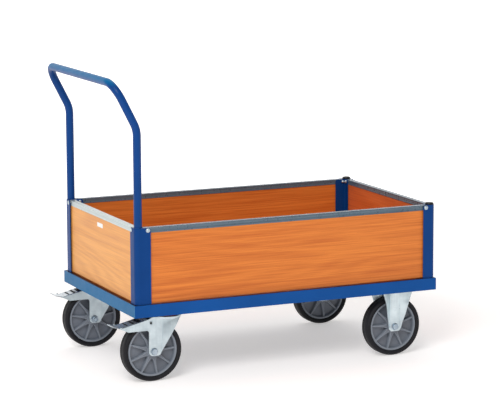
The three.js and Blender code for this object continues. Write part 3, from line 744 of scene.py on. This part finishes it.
def axle(prefix, out, body):
    """Sleeve, bolt and nut on the wheel's axle; out is the sign of the outboard side."""
    sleeve_low, sleeve_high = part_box(f"{prefix}_axle_sleeve")
    half = (sleeve_high.y - sleeve_low.y) / 2 / MM
    radius = (sleeve_high.x - sleeve_low.x) / 2 / MM
    centre = wheel_centre(prefix)
    bm = bmesh.new()
    turn(bm, [(AXLE_HOLE_R, -half), (radius - 0.5, -half), (radius, 0.5 - half), (radius, half - 0.5),
              (radius - 0.5, half), (AXLE_HOLE_R, half)], centre, "y", 40, loop=True)
    make_piece(f"{prefix}_axle_sleeve_finish", bm, ZINC, body, [f"{prefix}_axle_sleeve"])

    corners = hexagon(BOLT_CORNERS)
    chamfer = hexagon(BOLT_CORNERS, 9.6)
    bolt = [(0.8, SEAT + 7.0), (7.6, SEAT + 7.2), (chamfer, SEAT + 7.1), (corners, SEAT + 5.9),
            (corners, SEAT + 1.9), (11.9, SEAT + 1.5), (12.2, SEAT + 1.1), (12.2, SEAT + 0.3),
            (11.9, SEAT), (BOLT_R, SEAT), (BOLT_R, -SEAT - 12.2), (5.1, -SEAT - 13.0)]
    bm = bmesh.new()
    turn(bm, bolt, centre, "y", 48, out)
    make_piece(f"{prefix}_axle_bolt_finish", bm, BOLT, body, [f"{prefix}_axle_bolt"])

    nut = [(AXLE_HOLE_R, SEAT), (11.9, SEAT), (12.2, SEAT + 0.3), (12.2, SEAT + 1.1), (11.9, SEAT + 1.5),
           (corners, SEAT + 1.9), (corners, SEAT + 8.6), (chamfer, SEAT + 9.8), (7.6, SEAT + 10.0),
           (AXLE_HOLE_R, SEAT + 9.6)]
    bm = bmesh.new()
    turn(bm, nut, centre, "y", 48, -out, loop=True)
    make_piece(f"{prefix}_axle_nut_finish", bm, BOLT, body, [f"{prefix}_axle_nut"])


# ---------- castors ----------
RIM_TURN = {"castor_rear_right": 8, "castor_rear_left": 0,
            "castor_front_right": -7, "castor_front_left": 12}      # degrees
# Places are in mm, X from the castor's own axis and Z from the floor.
NUT_PLACE = (61.5, 40.0)            # X and Y of a mounting nut
MOUNT_NUT_CORNERS = 13
LEG_FACE = 31.0                     # outer face of a fork or bracket leg, from the middle plane
FORK_CREASE = ((-30.0, 100.0), (-29.7, 104.0), (-27.0, 140.0), (-24.5, 175.0), (-22.6, 199.0),
               (-22.4, 203.0))      # X and Z
FORK_CREASE_R = 1.1
BRACKET_FOLD_X = 18.0               # where the wings of a bracket's leg begin
BRACKET_FOLD_Z = (96.0, 150.0, 232.0)
BRACKET_CREASE_R = 1.0
PEDAL_PIVOT = (-65.0, 194.0)        # X and Z
TREAD_TOP = (-90.0, 202.5)          # the ends of the pedal's straight tread, X and Z
TREAD_FOOT = (-166.0, 184.8)
# black strips on the pedal: partly ridges of the tread, partly painted shade under the rail
RIDGE_SHADE_STRIPS = ((-103.0, 6.5), (-122.0, 3.4), (-142.0, 2.2))       # X and half width
RIDGE_SHADE_STRIP_HALF_LENGTH = 21.0
PLATE_THICK = 5.0
PLATE_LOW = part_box("castor_front_right_bracket")[1].z - PLATE_THICK * MM    # in metres


def axis_foot(node):
    """The point on the floor under the middle of a node."""
    low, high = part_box(node)
    return Vector(((low.x + high.x) / 2, (low.y + high.y) / 2, 0))


def mounting_nuts(prefix, node):
    """Four nuts on washers under a castor's top plate."""
    middle = axis_foot(node)
    corners = hexagon(MOUNT_NUT_CORNERS)
    profile = [(3.2, 0.0), (7.4, 0.0), (7.6, -0.2), (7.6, -1.3), (7.4, -1.5),
               (hexagon(MOUNT_NUT_CORNERS, 6.2), -1.5), (corners, -1.9), (corners, -6.8),
               (hexagon(MOUNT_NUT_CORNERS, 6.0), -7.5), (4.4, -7.6), (3.2, -7.6), (3.2, -10.2),
               (2.4, -11.0)]
    for i, (sx, sy) in enumerate(((1, 1), (1, -1), (-1, 1), (-1, -1))):
        place = middle + Vector((sx * NUT_PLACE[0] * MM, sy * NUT_PLACE[1] * MM, PLATE_LOW))
        bm = bmesh.new()
        turn(bm, profile, place, "z", 36)
        make_piece(f"{prefix}_mounting_nut_{i + 1}", bm, ZINC, ROOT)


def fork_details(prefix, side, out):
    """The rolled crease, the pivot's collar and a black disc sunk in the pivot's hole, painted shade for
    the hole, on each leg of a fork.
    """
    body = f"rear_{side}_fork"
    pin = axis_foot(f"{prefix}_kingpin")
    for name, face in (("outer", out), ("inner", -out)):
        path = [pin + Vector((x, face * LEG_FACE, z)) * MM for x, z in FORK_CREASE]
        bm = bmesh.new()
        skin(bm, swept_rings(path, FORK_CREASE_R * MM, 12))
        make_piece(f"{prefix}_crease_{name}", bm, ZINC, body)
        pivot = pin + Vector((PEDAL_PIVOT[0], face * LEG_FACE, PEDAL_PIVOT[1])) * MM
        bm = bmesh.new()
        collar = [(4.4, -0.5), (4.4, 0.6), (5.0, 1.0), (6.2, 1.0), (7.0, 0.5), (7.1, -0.5)]
        turn(bm, collar, pivot, "y", 32, face, loop=True)
        make_piece(f"{prefix}_pivot_collar_{name}", bm, ZINC, body)
        # a black disc sunk inside the collar: painted shade in the pivot's hole
        bm = bmesh.new()
        turn(bm, [(3.8, -3.2), (3.8, -1.6), (3.2, -1.2), (0.5, -1.1)], pivot, "y", 24, face)
        make_piece(f"{prefix}_pivot_hole_shade_{name}", bm, CAP, f"rear_{side}_pedal")


def bracket_creases(prefix):
    """Rolled creases where the wings of a fixed bracket's legs begin."""
    middle = axis_foot(f"{prefix}_bracket")
    for name, face in SIDES.items():
        for end, sign in ENDS.items():
            path = [middle + Vector((sign * BRACKET_FOLD_X, face * LEG_FACE, z)) * MM
                    for z in BRACKET_FOLD_Z]
            bm = bmesh.new()
            skin(bm, swept_rings(path, BRACKET_CREASE_R * MM, 12))
            make_piece(f"{prefix}_crease_{name}_{end}", bm, ZINC, ROOT)


def pedal_ridge_shade_strips(prefix, side):
    """Black strips across the pedal's tread, narrower towards its tip: partly ridges of the tread, partly
    painted shade under the rail.
    """
    pin = axis_foot(f"{prefix}_kingpin")
    slope = (TREAD_TOP[1] - TREAD_FOOT[1]) / (TREAD_TOP[0] - TREAD_FOOT[0])
    for i, (x, wide) in enumerate(RIDGE_SHADE_STRIPS):
        rings = []
        for half, lift in ((wide, -0.4), (wide, 0.5), (wide - 0.6, 0.9)):
            ring = []
            for sx, sy in ((-1, -1), (1, -1), (1, 1), (-1, 1)):
                z = TREAD_TOP[1] + (x + sx * half - TREAD_TOP[0]) * slope + lift
                y = sy * (half + RIDGE_SHADE_STRIP_HALF_LENGTH - wide)
                ring.append(pin + Vector((x + sx * half, y, z)) * MM)
            rings.append(ring)
        bm = bmesh.new()
        skin(bm, rings)
        make_piece(f"{prefix}_ridge_shade_strip_{i + 1}", bm, SHOE, f"rear_{side}_pedal")


for side, out in SIDES.items():
    rear, front = f"castor_rear_{side}", f"castor_front_{side}"
    tyre(rear, f"rear_{side}_wheel")
    rim(rear, f"rear_{side}_wheel", math.radians(RIM_TURN[rear]))
    axle(rear, out, f"rear_{side}_fork")
    tyre(front, f"front_{side}_wheel")
    rim(front, f"front_{side}_wheel", math.radians(RIM_TURN[front]))
    axle(front, out, ROOT)
    refine(f"{rear}_plate", ZINC, 0.8 * MM)
    refine(f"{rear}_kingpin", ZINC, 0.5 * MM)
    refine(f"{rear}_fork", ZINC, 0.8 * MM, 3, 20)
    refine(f"{rear}_brake_pedal", CHROME, 0.5 * MM)
    refine(f"{rear}_brake_shoe", SHOE, 1.0 * MM)
    refine(f"{rear}_seal", SEAL, 0.3 * MM, 2)
    refine(f"{front}_bracket", ZINC, 0.8 * MM, 3, 14)
    mounting_nuts(rear, f"{rear}_kingpin")
    mounting_nuts(front, f"{front}_bracket")
    bracket_creases(front)
    fork_details(rear, side, out)
    pedal_ridge_shade_strips(rear, side)


# ---------- floor, light and backdrop ----------
FLOOR_WHITE = (0.84, 0.81, 0.795, 1)
FRONT_WHITE = (0.6, 0.6, 0.6, 1)
GLOW_TINT = (1.0, 0.985, 0.975, 1)
# the glow near the object, kept low as a painted shadow round it
SHADED_FLOOR_GLOW = 0.42
FAR_GLOW = 1.0
FRONT_GLOW_SHARE = 0.6
BACKDROP_GLOW = 0.75
WORLD_STRENGTH = 0.38
FLOOR_SIZE = 60
AWAY = Vector((0.41, 0.91, 0))      # level, from the front of the stage to its back
ACROSS = Vector((0.91, -0.41, 0))
BACKDROP_AWAY = 26
BACKDROP_HALF = 45
BACKDROP_TALL = 14
FRONT_DIM = (-1.4, -2.4)            # where the floor starts to dim and is dim, along AWAY
PAINTED_SHADOW_FADE = (1.1, 3.2)             # where the painted shadow round the object fades: its glow starts to rise and is full, from the middle


def stage_object(name, bm, material):
    mesh = bpy.data.meshes.new(name)
    bm.to_mesh(mesh)
    bm.free()
    mesh.materials.append(material)
    made = bpy.data.objects.new(name, mesh)
    bpy.context.scene.collection.objects.link(made)
    return made


def make_floor():
    """A pale floor that glows a little. Its glow is lowered near the object, a painted shadow round it, and
    rises to full far away; it is also dimmer in front of the object.
    """
    bm = bmesh.new()
    bmesh.ops.create_grid(bm, x_segments=1, y_segments=1, size=FLOOR_SIZE)
    s = Surface("floor_white", Roughness=0.9, Specular_IOR_Level=0.1)
    ahead = s.node("ShaderNodeVectorMath", "Value", {0: s.place, 1: AWAY}, operation="DOT_PRODUCT")
    apart = s.node("ShaderNodeVectorMath", "Value", {0: s.place}, operation="LENGTH")
    front = s.spread(ahead, *FRONT_DIM)
    far = s.spread(apart, *PAINTED_SHADOW_FADE)
    s.colour(s.blend(front, FLOOR_WHITE, FRONT_WHITE))
    # low glow near the object: painted shadow
    glow = s.spread(far, 0.0, 1.0, SHADED_FLOOR_GLOW, FAR_GLOW)
    dimming = s.spread(front, 0.0, 1.0, 1.0, FRONT_GLOW_SHARE)
    s.feed(s.bsdf.inputs["Emission Strength"], s.sum(glow, dimming, "MULTIPLY"))
    s.bsdf.inputs["Emission Color"].default_value = GLOW_TINT
    floor = stage_object("floor", bm, s.material)


def make_backdrop():
    """A white wall far behind the object, for its reflections; from the photo's side it isn't seen."""
    away = AWAY * BACKDROP_AWAY
    across = ACROSS * BACKDROP_HALF
    up = Vector((0, 0, BACKDROP_TALL))
    corners = [away - across, away + across, away + across + up, away - across + up]
    bm = bmesh.new()
    bm.faces.new([bm.verts.new(corner) for corner in corners])
    s = Surface("backdrop_white", Roughness=0.9)
    s.bsdf.inputs["Emission Color"].default_value = (1, 1, 1, 1)
    s.bsdf.inputs["Emission Strength"].default_value = BACKDROP_GLOW
    backdrop = stage_object("backdrop", bm, s.material)


LIT_SPOT = (0, 0, 0.3)


def soft_box(name, place, target, size, power):
    """An area light that faces its target."""
    data = bpy.data.lights.new(name, "AREA")
    data.shape = "RECTANGLE"
    data.size, data.size_y = size
    data.energy = power
    light = bpy.data.objects.new(name, data)
    bpy.context.scene.collection.objects.link(light)
    light.location = place
    light.rotation_euler = (Vector(target) - Vector(place)).to_track_quat("-Z", "Y").to_euler()


def make_world():
    world = bpy.data.worlds.new("studio")
    world.use_nodes = True
    background = world.node_tree.nodes["Background"]
    background.inputs["Color"].default_value = (1, 1, 1, 1)
    background.inputs["Strength"].default_value = WORLD_STRENGTH
    bpy.context.scene.world = world


make_floor()
make_backdrop()
make_world()
soft_box("key", (-2.6, -3.2, 3.6), LIT_SPOT, (2.2, 2.2), 150)
soft_box("top", (0.4, 1.6, 4.2), LIT_SPOT, (4.0, 3.0), 40)
bpy.context.scene.view_settings.view_transform = "Standard"
